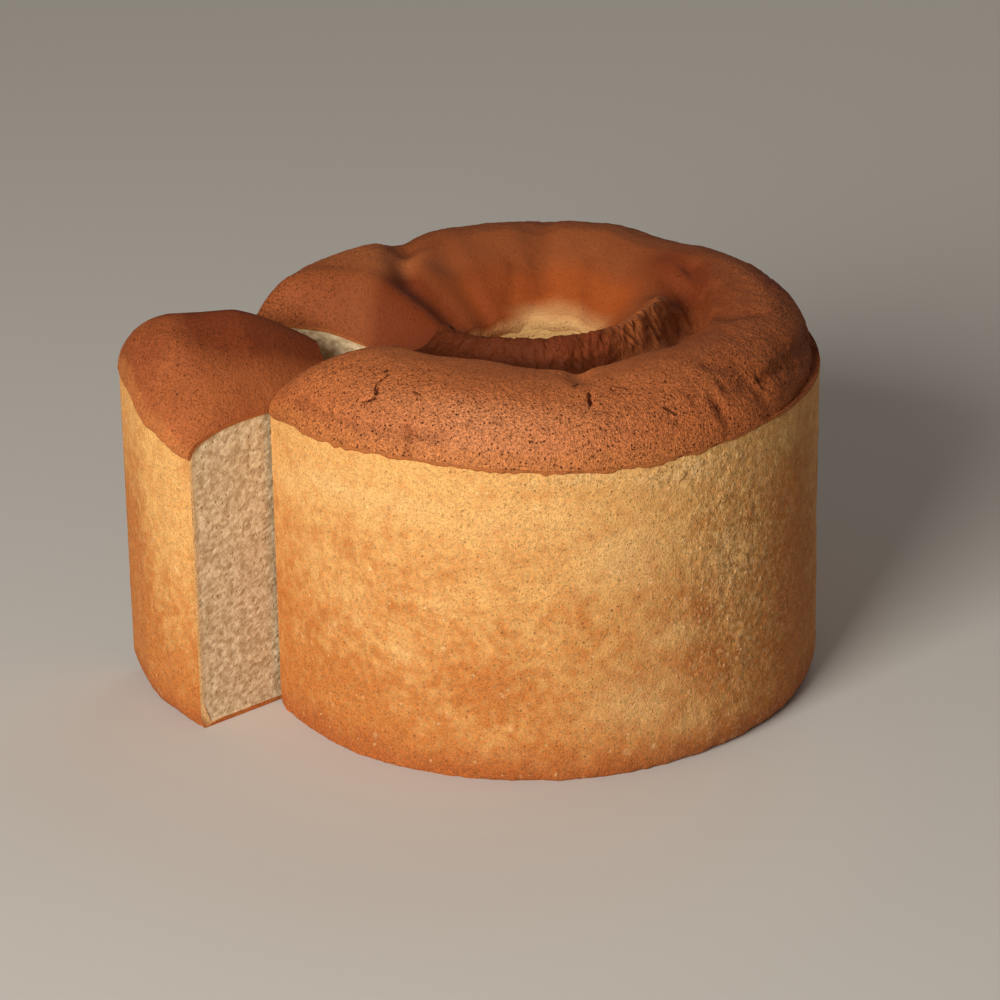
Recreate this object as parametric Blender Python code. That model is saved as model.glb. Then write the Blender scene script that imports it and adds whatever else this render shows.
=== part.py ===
"""Chiffon cake from a tall tube tin, with one wedge cut and drawn part of the way out of its gap.

Metres and degrees, +Z up. The cake stands on z = 0, and the middle of its footprint is the origin. Azimuths
turn anticlockwise from +X. The ring runs from its front cut round the right side to its back cut, so its
azimuths go on past 360. All shapes are first worked out about the cake's own axis.
"""

import math

import bpy
import numpy as np

MM = 0.001

# Driving dimensions. The tin's radius and the crust's heights vary with the azimuth, and are given below.
HOLE_RADIUS = 26 * MM
HOLE_WALL_HEIGHT = 80 * MM
HOLE_LIP = 0.5 * MM
FOOT_HEIGHT = 7 * MM
CRUST_LIP = 0.7 * MM
CRUST_THICKNESS = 1.2 * MM
SHOULDER_POWER = 1.1
INNER_FALL_POWER = 1.35

# The cuts, how far the freed wedge has spread at its front, and how it has been turned and drawn out.
FRONT_CUT = 199.7
BACK_CUT = 168.0
WEDGE_FRONT_CUT = 200.6
WEDGE_TURN = 19.5
WEDGE_AXIS = (-35.8 * MM, 7.1 * MM)

# The cake's axis, placed so that the footprint's middle is the origin.
CAKE_AXIS = (19.6 * MM, -0.15 * MM)

# The front lobes end over a groove, and a rolled collar of crust stands between it and the hole.
LOBE_EDGE_WIDTH = 5 * MM
GROOVE_HEIGHT = 97.5 * MM
COLLAR_WIDTH = 4.2 * MM

# On the right the dome is set back from the rim, with a groove at its foot.
LEDGE_SETBACK = 1.6 * MM
LEDGE_GROOVE = 0.8 * MM
LEDGE_WIDTH = 1.6 * MM

# How many points a section has on each stretch, and how many sections there are.
RING_SECTIONS = 120
WEDGE_SECTIONS = 15
SHOULDER_POINTS = 10
INNER_POINTS = 17
LEDGE_POINTS = 2
FOOT_TURNS = (30, 60, 90)
SHARP_ANGLE = 28

# Each row is the azimuth and the value, in mm, of a turn in the ring's form.
RING_SIDE_RADIUS = (
    (199.7, 77.0), (226, 76.8), (270, 75.2), (314, 74.2), (350, 74.8), (420, 75.0), (480, 76.0), (528, 79.0),
)
RING_FOOT_INSET = ((199.7, 0.4), (235, 0.5), (280, 1.5), (325, 3.5), (420, 2.5), (528, 2.0))
RING_RIM_HEIGHT = (
    (199.7, 86.3), (212, 89.0), (242, 91.0), (284, 89.4), (326, 90.7), (390, 90.0), (490, 91.5), (528, 97.0),
)
RING_CREST_HEIGHT = (
    (199.7, 105.0), (240, 106.5), (283, 105.6), (310, 106.3), (360, 106.5), (400, 106.5),
    (416, 105.0), (430, 107.5), (475, 107.5), (484, 106.0), (497, 107.5), (528, 107.5),
)
RING_CREST_RADIUS = ((199.7, 52.0), (300, 52.0), (360, 58.0), (420, 52.0), (470, 52.0), (510, 60.0), (528, 62.0))
RING_LOBE_EDGE = (
    (199.7, 44.0), (225, 44.0), (250, 40.0), (283, 45.0), (303, 42.0), (318, 42.5), (340, 44.0), (380, 44.0),
)
# How far the front lobes roll down from the crest to their inner edge.
RING_LOBE_ROLL = ((215, 1.0), (262, 1.2), (283, 0.0), (303, 1.5), (325, 3.5), (350, 3.5), (385, 0.0))
RING_COLLAR = ((199.7, 1.0), (368, 1.0), (408, 0.0), (528, 0.0))
RING_COLLAR_HEIGHT = ((215, 104.0), (258, 106.6), (300, 106.4), (358, 105.8), (385, 103.5))
RING_COLLAR_RADIUS = ((199.7, 27.5), (340, 27.5), (380, 33.0))
RING_LEDGE = ((315, 0.0), (345, 1.0), (370, 1.0), (395, 0.0))

# Each crease is its depth and half width, in mm, and the (azimuth, radius in mm) points that it runs through.
RING_CREASES = (
    (1.0, 4.5, ((484, 72), (489, 58))),
    (3.0, 7.0, ((528, 30), (528, 50))),
    (3.5, 4.5, ((489, 60), (500, 49), (506, 43), (503, 36), (503, 31))),
    (1.5, 4.5, ((451, 52), (453, 30))),
    (2.5, 3.0, ((392, 49), (378, 44), (364, 43))),
    (3.0, 3.5, ((366, 38), (352, 37), (338, 41))),
    (1.5, 3.0, ((282, 42), (280, 52))),
)

WEDGE_SIDE_RADIUS = ((168, 78.9), (180, 78.0), (192, 76.6), (200.6, 75.3))
WEDGE_FOOT_INSET = ((168, 5.0), (190, 2.5), (200.6, 1.1))
WEDGE_RIM_HEIGHT = ((168, 90.8), (176, 90.2), (188, 83.4), (200.6, 80.5))
WEDGE_CREST_HEIGHT = ((168, 106.5), (200.6, 106.5))
WEDGE_CREST_RADIUS = ((168, 64.0), (200.6, 57.0))

# How far the crust is dragged down at a cut, and how far in from the cut that reaches.
RING_FRONT_DRAG = (6 * MM, 16 * MM)
RING_BACK_DRAG = (12.7 * MM, 10 * MM)
WEDGE_BACK_DRAG = (2 * MM, 6 * MM)

# The wedge sags towards its front cut: how far, over what angle, how evenly, and the share of it lost at the tip.
WEDGE_SAG = 20.0 * MM
SAG_TURN = 27.0
SAG_POWER = 1.6
SAG_LOST_AT_TIP = 0.4

# The radius where the slope down to the hole begins, and how far it falls by the hole's edge.
RING_FALL = (52 * MM, 15.5 * MM)
WEDGE_FALL = (48 * MM, 10.5 * MM)

SPONGE_COLOUR = (0.62, 0.42, 0.20, 1.0)
SPONGE_ROUGHNESS = 0.8


def through(az, turns):
    """A value in metres that swings smoothly through (azimuth, mm) turns, and is level outside them."""
    angles, values = (np.array(column, float) for column in zip(*turns))
    place = np.interp(az, angles, np.arange(len(angles)))
    first = np.minimum(place.astype(int), len(angles) - 2)
    part = place - first
    eased = part * part * (3 - 2 * part)
    return (values[first] + (values[first + 1] - values[first]) * eased) * MM


def hump(distance, width):
    return np.exp(-((distance / width) ** 2))


def smooth_step(t):
    t = np.clip(t, 0, 1)
    return t * t * (3 - 2 * t)


def on_plan(az, r):
    return r * np.cos(np.radians(az)), r * np.sin(np.radians(az))


def distance_to_path(x, y, path):
    """Distance on plan to a line through (azimuth, radius in mm) points."""
    corners = [on_plan(az, r * MM) for az, r in path]
    nearest = np.full(np.shape(x), np.inf)
    for (ax, ay), (bx, by) in zip(corners, corners[1:]):
        run_x, run_y = bx - ax, by - ay
        along = np.clip(((x - ax) * run_x + (y - ay) * run_y) / (run_x**2 + run_y**2), 0, 1)
        nearest = np.minimum(nearest, np.hypot(x - ax - along * run_x, y - ay - along * run_y))
    return nearest


def drag(az, r, cut, amount):
    """How far the knife has pulled the crust down, from a cut at this azimuth."""
    depth, reach = amount
    away = r * np.sin(np.radians(np.minimum(np.abs(az - cut), 90)))
    return depth * np.clip(1 - away / reach, 0, 1) ** 2


def shoulder(r, foot_r, crest_r):
    """1 from the crest inwards, down to 0 at the dome's foot, along a rounded shoulder."""
    out = np.clip((r - crest_r) / (foot_r - crest_r), 0, 1)
    return np.sqrt(1 - out**2) ** SHOULDER_POWER


def fall(r, amount):
    """The smooth slope from inside the crest down to the hole's edge."""
    start, drop = amount
    inwards = np.clip((start - r) / (start - HOLE_RADIUS), 0, 1)
    return drop * inwards**INNER_FALL_POWER


def lobe_roll(az, r):
    """How far the lobe has rolled down towards its inner edge."""
    crest_r = through(az, RING_CREST_RADIUS)
    inwards = np.clip((crest_r - r) / (crest_r - through(az, RING_LOBE_EDGE)), 0, 1)
    return through(az, RING_LOBE_ROLL) * inwards**2


def collared(az, r, lobe_z):
    """The lobe's height, turned down at its edge into the groove, and up again over the collar round the hole."""
    lobe_edge = through(az, RING_LOBE_EDGE)
    inside = smooth_step((lobe_edge + LOBE_EDGE_WIDTH / 2 - r) / LOBE_EDGE_WIDTH)
    rise = through(az, RING_COLLAR_HEIGHT) - GROOVE_HEIGHT
    collar = GROOVE_HEIGHT + rise * hump(r - through(az, RING_COLLAR_RADIUS), COLLAR_WIDTH)
    return lobe_z + (collar - lobe_z) * inside


def ring_foot(az):
    """Radius of the dome's foot."""
    return through(az, RING_SIDE_RADIUS) - LEDGE_SETBACK * through(az, RING_LEDGE) / MM


def wedge_foot(az):
    return through(az, WEDGE_SIDE_RADIUS)


def ring_height(az, r):
    """Height of the ring's crust at this azimuth and radius."""
    x, y = on_plan(az, r)
    foot_r = ring_foot(az)
    rim_z = through(az, RING_RIM_HEIGHT)
    dragged = drag(az, r, FRONT_CUT, RING_FRONT_DRAG) + drag(az, r, BACK_CUT + 360, RING_BACK_DRAG)
    rise = through(az, RING_CREST_HEIGHT) - rim_z - dragged
    dome = rim_z + rise * shoulder(r, foot_r, through(az, RING_CREST_RADIUS)) - lobe_roll(az, r)
    with_collar = through(az, RING_COLLAR) / MM
    z = with_collar * collared(az, r, dome) + (1 - with_collar) * (dome - fall(r, RING_FALL))
    ledge = through(az, RING_LEDGE) / MM
    z = z - ledge * LEDGE_GROOVE * hump(r - foot_r, LEDGE_WIDTH)
    for depth, half_width, path in RING_CREASES:
        z = z - depth * MM * hump(distance_to_path(x, y, path), half_width * MM)
    return z


def wedge_sag(az, r):
    """How far the wedge's crust hangs down towards its front cut."""
    start = WEDGE_FALL[0]
    inwards = np.clip((start - r) / (start - HOLE_RADIUS), 0, 1)
    near = np.clip(1 - (WEDGE_FRONT_CUT - az) / SAG_TURN, 0, 1)
    return WEDGE_SAG * (1 - SAG_LOST_AT_TIP * inwards) * near**SAG_POWER


def wedge_height(az, r):
    """Height of the wedge's crust, at its azimuth and radius in the whole cake."""
    foot_r = wedge_foot(az)
    rim_z = through(az, WEDGE_RIM_HEIGHT)
    dragged = wedge_sag(az, r) + drag(az, r, BACK_CUT, WEDGE_BACK_DRAG)
    rise = through(az, WEDGE_CREST_HEIGHT) - rim_z - dragged
    crest_r = through(az, WEDGE_CREST_RADIUS)
    return rim_z + rise * shoulder(r, foot_r, crest_r) - fall(r, WEDGE_FALL)


def crust_radii(crest_r, foot_r, rim_r):
    """Radii of the crust's points, from the hole's edge out to the rim, closer together on the shoulder."""
    inner = np.linspace(HOLE_RADIUS - HOLE_LIP, crest_r, INNER_POINTS, endpoint=False)
    turn = np.linspace(0, math.pi / 2, SHOULDER_POINTS)
    ledge = np.linspace(foot_r, rim_r, LEDGE_POINTS + 1)[1:]
    return np.concatenate([inner, crest_r + (foot_r - crest_r) * np.sin(turn), ledge])


def section(az, height, crest_r, foot_r, side_r, inset):
    """(radius, height) points of one upright section, up the hole's wall, over the crust and down the side."""
    radii = crust_radii(crest_r, foot_r, side_r + CRUST_LIP)
    crust = list(zip(radii, height(np.full(radii.shape, az), radii)))
    rim_z = crust[-1][1]
    wall = [(HOLE_RADIUS, 0.0), (HOLE_RADIUS, HOLE_WALL_HEIGHT / 2), (HOLE_RADIUS, HOLE_WALL_HEIGHT)]
    side = [(side_r, rim_z - CRUST_THICKNESS), (side_r, rim_z / 2), (side_r, FOOT_HEIGHT)]
    for turn in FOOT_TURNS:
        angle = math.radians(turn)
        side.append((side_r - inset * (1 - math.cos(angle)), FOOT_HEIGHT * (1 - math.sin(angle))))
    return wall + crust + side


def solid(name, azimuths, height, radii, turn=0.0, axis=(0.0, 0.0)):
    """A closed mesh from one section at each azimuth, with both ends capped, stood at its axis."""
    sections = [section(az, height, *row) for az, row in zip(azimuths, zip(*radii))]
    count = len(sections[0])
    points = []
    for az, outline in zip(azimuths, sections):
        for r, z in outline:
            x, y = on_plan(az + turn, r)
            points.append((x + axis[0] + CAKE_AXIS[0], y + axis[1] + CAKE_AXIS[1], z))
    faces = [tuple(range(count))[::-1]]
    for i in range(len(sections) - 1):
        for j in range(count):
            k = (j + 1) % count
            faces.append((i * count + j, i * count + k, (i + 1) * count + k, (i + 1) * count + j))
    last = (len(sections) - 1) * count
    faces.append(tuple(range(last, last + count)))
    mesh = bpy.data.meshes.new(name)
    mesh.from_pydata(points, [], faces)
    mesh.validate()
    cake = bpy.data.objects.new(name, mesh)
    bpy.context.scene.collection.objects.link(cake)
    return cake


def finish(cake, material):
    """Smooth shading with sharp cuts, and the sponge's own material."""
    cake.data.shade_smooth()
    cake.data.set_sharp_from_angle(angle=math.radians(SHARP_ANGLE))
    cake.data.materials.append(material)


def sponge_material(name):
    material = bpy.data.materials.new(name)
    material.use_nodes = True
    shader = material.node_tree.nodes["Principled BSDF"]
    shader.inputs["Base Color"].default_value = SPONGE_COLOUR
    shader.inputs["Roughness"].default_value = SPONGE_ROUGHNESS
    shader.inputs["Metallic"].default_value = 0.0
    return material


def build_ring():
    azimuths = np.linspace(FRONT_CUT, BACK_CUT + 360, RING_SECTIONS)
    crest = through(azimuths, RING_CREST_RADIUS)
    side = through(azimuths, RING_SIDE_RADIUS)
    inset = through(azimuths, RING_FOOT_INSET)
    ring = solid("cake", azimuths, ring_height, (crest, ring_foot(azimuths), side, inset))
    finish(ring, sponge_material("cake_sponge"))


def build_wedge():
    azimuths = np.linspace(BACK_CUT, WEDGE_FRONT_CUT, WEDGE_SECTIONS)
    crest = through(azimuths, WEDGE_CREST_RADIUS)
    side = through(azimuths, WEDGE_SIDE_RADIUS)
    inset = through(azimuths, WEDGE_FOOT_INSET)
    radii = (crest, wedge_foot(azimuths), side, inset)
    wedge = solid("slice", azimuths, wedge_height, radii, WEDGE_TURN, WEDGE_AXIS)
    finish(wedge, sponge_material("slice_sponge"))


def main():
    for old in list(bpy.data.objects):
        bpy.data.objects.remove(old, do_unlink=True)
    build_ring()
    build_wedge()


main()
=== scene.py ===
"""Chiffon cake with one wedge drawn part of the way out: crust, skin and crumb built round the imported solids.

Metres and degrees, +Z up. The cake stands on z = 0. Azimuths turn anticlockwise from +X about the cake's own
axis, and the ring runs from its front cut round the right side to its back cut, so its azimuths go on past 360.
"""

import functools
import itertools
import math

import bpy
import numpy as np
from bpy.props import FloatProperty, FloatVectorProperty, PointerProperty
from mathutils import Matrix, Vector


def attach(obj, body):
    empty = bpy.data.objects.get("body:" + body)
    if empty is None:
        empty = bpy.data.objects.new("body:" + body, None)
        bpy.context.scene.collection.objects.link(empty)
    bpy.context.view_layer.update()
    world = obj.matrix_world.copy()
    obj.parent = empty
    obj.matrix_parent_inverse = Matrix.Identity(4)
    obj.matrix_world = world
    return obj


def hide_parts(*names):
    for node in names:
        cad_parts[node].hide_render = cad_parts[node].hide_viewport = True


bl_info = {
    "name": "Chiffon Cake",
    "version": (1, 0, 0),
    "blender": (4, 5, 0),
    "location": "3D View > Sidebar > Cake",
    "description": "Builds a cut chiffon cake with its crust, skin and crumb, and a studio stage",
    "category": "Add Mesh",
}

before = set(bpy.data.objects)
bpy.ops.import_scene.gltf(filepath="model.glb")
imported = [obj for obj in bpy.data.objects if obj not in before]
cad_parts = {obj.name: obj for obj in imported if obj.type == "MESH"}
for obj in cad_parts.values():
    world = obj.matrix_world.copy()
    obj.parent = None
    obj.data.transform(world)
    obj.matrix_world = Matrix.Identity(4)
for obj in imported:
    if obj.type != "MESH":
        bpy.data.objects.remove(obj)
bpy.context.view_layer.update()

MM = 0.001

# ---- The cake's form, in the same named sizes as its solids ----

HOLE_RADIUS = 26 * MM
FOOT_HEIGHT = 7 * MM
SHOULDER_POWER = 1.1
INNER_FALL_POWER = 1.35

FRONT_CUT = 199.7
BACK_CUT = 168.0
WEDGE_FRONT_CUT = 200.6
WEDGE_TURN = 19.5
WEDGE_AXIS = (-35.8 * MM, 7.1 * MM)
CAKE_AXIS = (19.6 * MM, -0.15 * MM)

LOBE_EDGE_WIDTH = 5 * MM
GROOVE_HEIGHT = 97.5 * MM
COLLAR_WIDTH = 4.2 * MM
LEDGE_SETBACK = 1.6 * MM
LEDGE_GROOVE = 0.8 * MM
LEDGE_WIDTH = 1.6 * MM

# Each row is the azimuth and the value, in mm, of a turn in the ring's form.
RING_SIDE_RADIUS = (
    (199.7, 77.0), (226, 76.8), (270, 75.2), (314, 74.2), (350, 74.8), (420, 75.0), (480, 76.0), (528, 79.0),
)
RING_FOOT_INSET = ((199.7, 0.4), (235, 0.5), (280, 1.5), (325, 3.5), (420, 2.5), (528, 2.0))
RING_RIM_HEIGHT = (
    (199.7, 86.3), (212, 89.0), (242, 91.0), (284, 89.4), (326, 90.7), (390, 90.0), (490, 91.5), (528, 97.0),
)
RING_CREST_HEIGHT = (
    (199.7, 105.0), (240, 106.5), (283, 105.6), (310, 106.3), (360, 106.5), (400, 106.5),
    (416, 105.0), (430, 107.5), (475, 107.5), (484, 106.0), (497, 107.5), (528, 107.5),
)
RING_CREST_RADIUS = ((199.7, 52.0), (300, 52.0), (360, 58.0), (420, 52.0), (470, 52.0), (510, 60.0), (528, 62.0))
RING_LOBE_EDGE = (
    (199.7, 44.0), (225, 44.0), (250, 40.0), (283, 45.0), (303, 42.0), (318, 42.5), (340, 44.0), (380, 44.0),
)
# How far the front lobes roll down from the crest to their inner edge.
RING_LOBE_ROLL = ((215, 1.0), (262, 1.2), (283, 0.0), (303, 1.5), (325, 3.5), (350, 3.5), (385, 0.0))
RING_COLLAR_HEIGHT = ((215, 104.0), (258, 106.6), (300, 106.4), (358, 105.8), (385, 103.5))
RING_COLLAR_RADIUS = ((199.7, 27.5), (340, 27.5), (380, 33.0))

# Where the ring has its collar and its ledge, from 0 to 1.
RING_COLLAR = ((199.7, 1.0), (368, 1.0), (408, 0.0), (528, 0.0))
RING_LEDGE = ((315, 0.0), (345, 1.0), (370, 1.0), (395, 0.0))

# Each crease is its depth and half width, in mm, and the (azimuth, radius in mm) points that it runs through.
BACK_CREASE = ((489, 60), (500, 49), (506, 43), (503, 36), (503, 31))
RING_CREASES = (
    (1.0, 4.5, ((484, 72), (489, 58))),
    (3.0, 7.0, ((528, 30), (528, 50))),
    (3.5, 4.5, BACK_CREASE),
    (1.5, 4.5, ((451, 52), (453, 30))),
    (2.5, 3.0, ((392, 49), (378, 44), (364, 43))),
    (3.0, 3.5, ((366, 38), (352, 37), (338, 41))),
    (1.5, 3.0, ((282, 42), (280, 52))),
)

WEDGE_SIDE_RADIUS = ((168, 78.9), (180, 78.0), (192, 76.6), (200.6, 75.3))
WEDGE_FOOT_INSET = ((168, 5.0), (190, 2.5), (200.6, 1.1))
WEDGE_RIM_HEIGHT = ((168, 90.8), (176, 90.2), (188, 83.4), (200.6, 80.5))
WEDGE_CREST_HEIGHT = ((168, 106.5), (200.6, 106.5))
WEDGE_CREST_RADIUS = ((168, 64.0), (200.6, 57.0))
WEDGE_LEDGE = ((168, 0.0), (200.6, 0.0))

# How far the crust is dragged down at a cut, and how far in from the cut that reaches.
RING_FRONT_DRAG = (6 * MM, 16 * MM)
RING_BACK_DRAG = (12.7 * MM, 10 * MM)
WEDGE_BACK_DRAG = (2 * MM, 6 * MM)

# The wedge sags towards its front cut: how far, over what angle, how evenly, and the share of it lost at the tip.
WEDGE_SAG = 20.0 * MM
SAG_TURN = 27.0
SAG_POWER = 1.6
SAG_LOST_AT_TIP = 0.4

# The radius where the slope down to the hole begins, and how far it falls by the hole's edge.
RING_FALL = (52 * MM, 15.5 * MM)
WEDGE_FALL = (48 * MM, 10.5 * MM)

# ---- What shows on the surfaces ----

# Each layer of lumps is its height and size in mm and its seed. Pores are their spacing, least and most radius in
# mm, the share of the places that hold one, and their seed.

# Splits in the crust: depth and half width in mm, and the (azimuth, radius in mm) points of the line.
CRUST_SPLITS = (
    (1.0, 0.50, ((226.6, 59.4), (227.0, 60.4))),
    (0.6, 0.22, ((227.0, 60.4), (229.3, 61.6), (228.4, 63.5), (228.6, 65.5), (229.0, 66.7))),
    (1.2, 0.38, ((229.4, 66.6), (230.4, 68.2))),
    (0.6, 0.26, ((231.2, 69.4), (230.4, 70.2), (228.6, 70.8))),
    (0.5, 0.20, ((238.5, 64.9), (240.6, 65.3))),
    (0.5, 0.26, ((279.2, 54.6), (277.8, 57.0))),
    (1.1, 0.38, ((281.0, 60.4), (280.6, 63.6))),
    (0.4, 0.20, ((280.6, 63.6), (279.9, 66.0))),
    (0.6, 0.32, ((286.9, 59.6), (287.1, 60.4))),
    (0.3, 0.16, ((287.4, 58.2), (290.7, 60.8))),
    (0.6, 0.24, ((296.5, 68.4), (298.4, 70.2))),
)

# Soft folds in the crust: depth and half width in mm, and their line.
CRUST_FOLDS = (
    (1.3, 0.8, ((240.7, 73.1), (242.0, 75.2), (242.4, 76.2))),
    (0.8, 1.0, ((242, 74.8), (246.5, 74.1), (250, 73.4))),
    (0.6, 0.8, ((210, 74.9), (221, 75.2), (231, 75.6), (240, 75.2))),
    (1.1, 1.4, ((309.0, 70.0), (309.8, 72.0), (309.4, 73.5))),
    (1.0, 2.2, ((314, 68.2), (319, 69.6), (325, 70.2))),
    (1.3, 1.5, ((325, 70.4), (334, 70.3), (341, 70.8), (350, 71.6), (362, 72.8))),
    (0.9, 2.5, ((322, 73), (320, 66), (314, 60))),
    (0.9, 3.0, ((373.5, 45.3), (366, 47))),
    (0.9, 3.0, ((352, 46), (346, 52), (349, 58))),
    (0.8, 3.0, ((448, 60), (449.5, 42), (448.5, 34))),
    (0.6, 2.5, ((460, 40), (466, 30))),
    (0.5, 2.5, ((430, 42), (427, 33))),
)

# The share of its depth that a split is dug to, how many half widths away its mark fades out, and how much painted
# shade a fold gets for each mm of its depth.
SPLIT_DEPTH = 0.7
SPLIT_REACH = 6
FOLD_SHADE = 0.35
SPLIT_RAGGEDNESS = ((0.55, 1.5, 8), (0.35, 4.0, 9))

CRUST_LUMPS = ((0.38, 14.0, 3), (0.20, 6.0, 4))
CRUST_GRAIN = ((0.15, 2.6, 5), (0.14, 1.3, 6))
CRUST_WIDE_PORES = (3.6, 0.40, 0.85, 0.8, 21)
CRUST_FINE_PORES = (1.5, 0.25, 0.45, 0.5, 31)

# Size in mm and seed of the collar's broad, medium and fine folds, and how deep they are.
COLLAR_FOLDS = ((5.5, 61), (3.0, 62), (1.6, 63))
COLLAR_FOLD_DEPTH = 0.7 * MM

# Spots of painted shade in hollows of the crust, and one of painted highlight on a lit slope: azimuth, radius in mm,
# half widths in degrees and mm, and strength.
CRUST_SHADE_AND_HIGHLIGHT_SPOTS = ((387, 44, 11, 8, 0.6), (488, 38, 6, 8, -0.35), (401, 46, 14, 8, 0.75))

# The crust's lip at the rim: how far out it stands, how much of that is lost at the ledge, and its rounding.
CRUST_LIP = 0.4 * MM
LEDGE_ROLL = 0.9
LIP_ROUNDING = 0.15 * MM
# How far out from the side, and how far below the rim, the lip's turns lie, in mm.
LIP_TURN = ((0.45, 0.3), (0.4, 0.7), (0.2, 1.1), (-0.3, 1.3))
LIP_RAGGEDNESS = ((0.45, 1.6, 51), (0.55, 5.0, 52))

# Round the hole the crust's edge rolls over as a hem: how far it stands in, how far down it reaches, how far it is
# tucked into the crumb, how far it rolls in and by what share of its way down, and how uneven it is.
HOLE_LIP = 0.2 * MM
CRUST_HEM = 7.5 * MM
HEM_TUCK = 2.8 * MM
HEM_ROLL = 0.5 * MM
HEM_ROLL_END = 0.23
HEM_LUMPS = ((0.5, 2.6, 53),)

# Marks of the crust's hidden rows, which show where it is cut.
UNDER_CRUST_MARKS = {"tone_and_shade": 0.5, "edge": 1.0}

# Stronger and weaker browning of the side: azimuth, height in mm, half widths in degrees and mm, and strength.
TOASTED_PATCHES = (
    (226, 23, 15, 6, 0.55), (258, 27, 10, 7, 0.8), (270, 22, 7, 5, 0.5), (227, 60, 4, 4, 0.4), (247, 59, 8, 4, 0.35),
    (268, 83, 3.5, 2, 0.7), (259, 82, 2, 2, 0.4), (291, 62, 3.5, 4, 0.45), (288, 71, 3, 2.5, 0.4),
    (276, 50, 4.5, 3.5, 0.4), (298, 51, 4, 3, 0.55), (304, 43, 5, 5, 0.6), (303, 27, 6, 7, 0.9), (275, 37, 3, 3, 0.4),
    (308, 83, 3, 3, 0.5), (318, 66, 5, 5, 0.35), (238, 46, 6, 4, 0.35), (211, 60, 6, 8, 0.3), (205, 38, 6, 12, 0.4),
    (325, 24, 8, 8, 0.5), (335, 52, 13, 48, 1.0), (352, 58, 9, 8, 0.6),
    (221, 14, 24, 16, 0.6), (378, 30, 12, 9, 0.6), (405, 66, 8, 6, 0.5), (428, 36, 14, 9, 0.6),
    (455, 70, 9, 6, 0.5), (470, 26, 12, 8, 0.7), (497, 55, 9, 9, 0.55), (515, 32, 8, 10, 0.5),
)
PALE_PATCHES = (
    (223, 76.5, 10, 3, 0.9), (208, 71, 8, 4, 0.6), (241, 76, 10, 4, 0.5), (259, 74, 8, 6, 0.35),
    (272, 76, 10, 8, 0.35), (299, 85, 10, 4, 1.0), (279, 87, 8, 2, 0.7), (278, 56, 4, 4, 0.4), (248, 49, 2, 2, 0.5),
    (240, 34, 3.5, 2.5, 0.6), (222, 35, 2.5, 2, 0.35), (229, 41, 2.5, 3, 0.35), (216, 54, 3.5, 3, 0.4),
    (226, 47, 5, 3, 0.3), (290, 20, 10, 9, 0.6), (285, 64, 9, 8, 0.75), (301, 12, 6, 5, 0.5), (296, 38, 6, 4, 0.5),
    (310, 56, 6, 8, 0.45), (330, 82, 8, 5, 0.4), (366, 78, 12, 6, 0.5), (398, 44, 10, 7, 0.5), (440, 80, 12, 5, 0.55),
    (446, 18, 10, 7, 0.4), (486, 78, 10, 5, 0.5), (512, 70, 7, 8, 0.35),
)

# Where the side's skin has come away with the tin and left it coarse: azimuth, height, half widths, and strength.
COARSE_PATCHES = (
    (314, 55, 20, 60, 0.9), (299, 84, 12, 5, 0.9), (276, 87, 10, 2, 0.6), (352, 45, 20, 50, 0.5),
    (290, 22, 12, 14, 0.35), (430, 50, 25, 35, 0.5), (495, 45, 18, 40, 0.5),
)
SKIN_LUMPS = ((0.28, 24.0, 103), (0.12, 7.0, 104))

# How far the skin's top edge lies below the crust's rim, how thick it is underneath, how wide in degrees and from
# what height up its cut end is pale, and the marks of its underside and of its hidden rows.
SKIN_BELOW_RIM = 1.1 * MM
SKIN_UNDER = 1.2 * MM
CUT_BAND = 0.06
CUT_PALE_FROM = 2.5 * MM
UNDERSIDE_MARKS = {"toast": 0.8, "foot": 0.7}
INSIDE_MARKS = {"pale": 1.0, "fleck": 1.0}

# How far behind the cut plane the crumb's face lies, in degrees, how far below the crust's surface its top lies in
# the open and by a cut, and how far it lies inside the skin, over the floor and outside the hole's radius.
CRUMB_RECESS = 0.02
CRUMB_DROP = 3.0 * MM
CRUMB_DROP_BY_CUT = 1.1 * MM
CRUMB_IN_SIDE = 0.5 * MM
CRUMB_OFF_FLOOR = 0.8 * MM
CRUMB_OFF_HOLE = 0.2 * MM
CRUMB_WIDE_PORES = (3.2, 0.40, 0.95, 0.45, 201)
CRUMB_FINE_PORES = (1.5, 0.30, 0.60, 0.60, 211)

# How finely each surface is divided. The crust's rows stand closer together towards the hole.
SHARP_ANGLE = 60
FRONT_END = 345.0
CRUST_FRONT_COLUMNS = 330
CRUST_BACK_COLUMNS = 200
SKIN_FRONT_COLUMNS = 320
SKIN_BACK_COLUMNS = 280
WEDGE_CRUST_COLUMNS = 90
WEDGE_SKIN_COLUMNS = 72
CRUST_INNER_ROWS = 80
INNER_CROWDING = 1.3
CRUST_SHOULDER_ROWS = 58
CRUST_LIP_ROWS = 6
CRUST_UNDER_ROWS = slice(9, -3, 5)
CRUST_HEM_ROWS = 8
SKIN_SIDE_ROWS = 124
SKIN_FOOT_ROWS = 9
SKIN_UNDER_ROWS = 9
SKIN_INSIDE_ROWS = 9
RING_CRUMB_CELLS = (90, 104, 188)
WEDGE_CRUMB_CELLS = (24, 140, 230)

# ---- The camera, the floor and the light ----

CAMERA_PLACE = (-11.93 * MM, -1124.41 * MM, 553.14 * MM)
CAMERA_PITCH = 24.20
CAMERA_ROLL = -0.94
CAMERA_LENS = 162.0
CAMERA_SENSOR = 36.0
FLOOR_SIZE = 8.0
FLOOR_COLOUR = (0.62, 0.60, 0.57)

# Each lamp: azimuth and elevation in degrees, distance and width in m, watts, and tint.
LAMPS = {
    "key": (240, 25, 1.5, 0.7, 25.0, (1.0, 0.95, 0.88)),
    "fill": (60, 40, 1.8, 1.2, 4.0, (1.0, 0.92, 0.84)),
}
LAMP_AIM = (0, 0, 0.05)
WORLD_TINT = (1.0, 0.90, 0.80, 1.0)
WORLD_STRENGTH = 0.11


# ---- Form ----


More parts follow.
